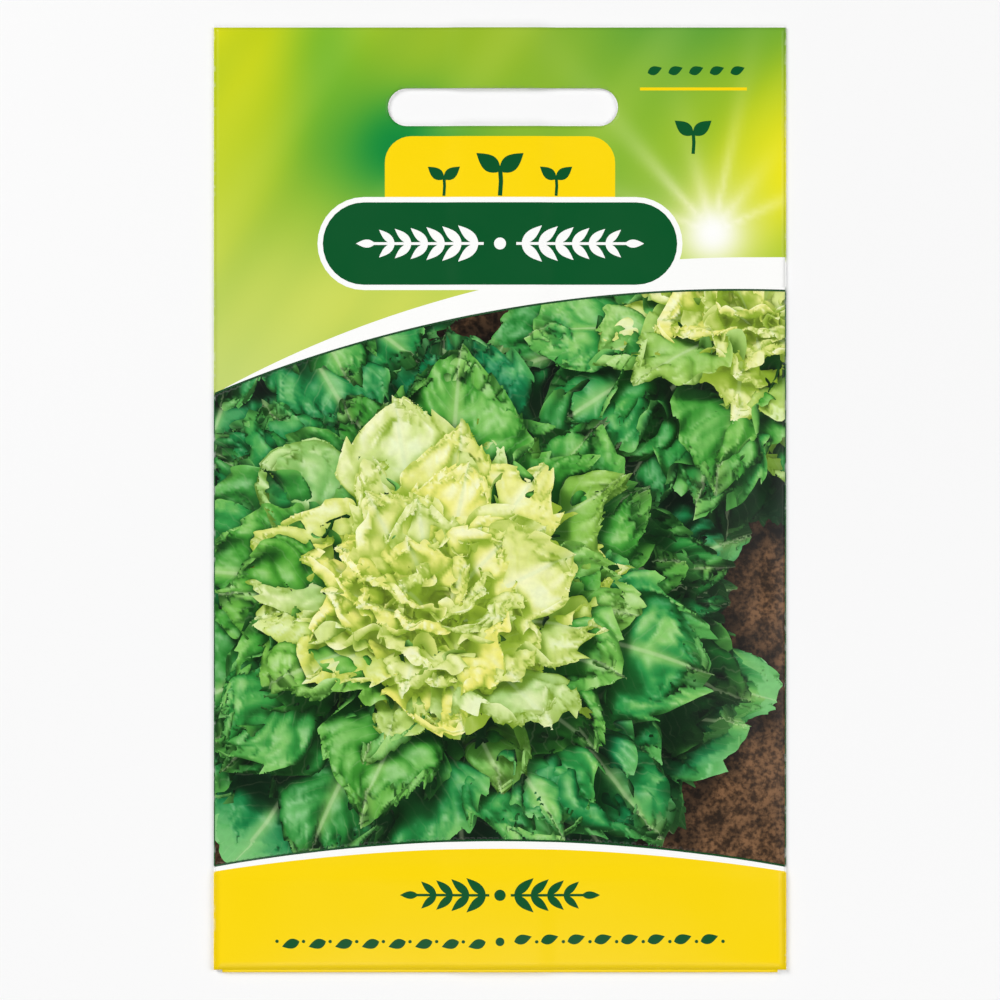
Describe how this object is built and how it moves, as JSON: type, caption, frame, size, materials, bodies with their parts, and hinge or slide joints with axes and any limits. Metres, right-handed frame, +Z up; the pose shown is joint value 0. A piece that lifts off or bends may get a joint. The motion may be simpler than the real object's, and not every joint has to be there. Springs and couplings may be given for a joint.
{
  "type": "seed packet",
  "caption": "Flat folded-paper seed packet with a hanging slot in its glued header and a foil sachet of seeds inside.",
  "frame": {"origin": "under the centre of the packet's outline, on the surface that it lies on", "axes": "+X to the right across the face, +Y along the face from the bottom fold to the header, +Z up out of the printed face"},
  "size_m": [0.097, 0.16, 0.0045],
  "materials": {
    "printed_paper": "satin coated paper, printed outside, white inside",
    "foil": "matt foil laminate",
    "seed_coat": "dry straw-brown seed coat"
  },
  "bodies": {
    "root": {"envelope": "printed_paper", "inner_sachet": "foil", "seeds": "seed_coat"}
  },
  "joints": []
}
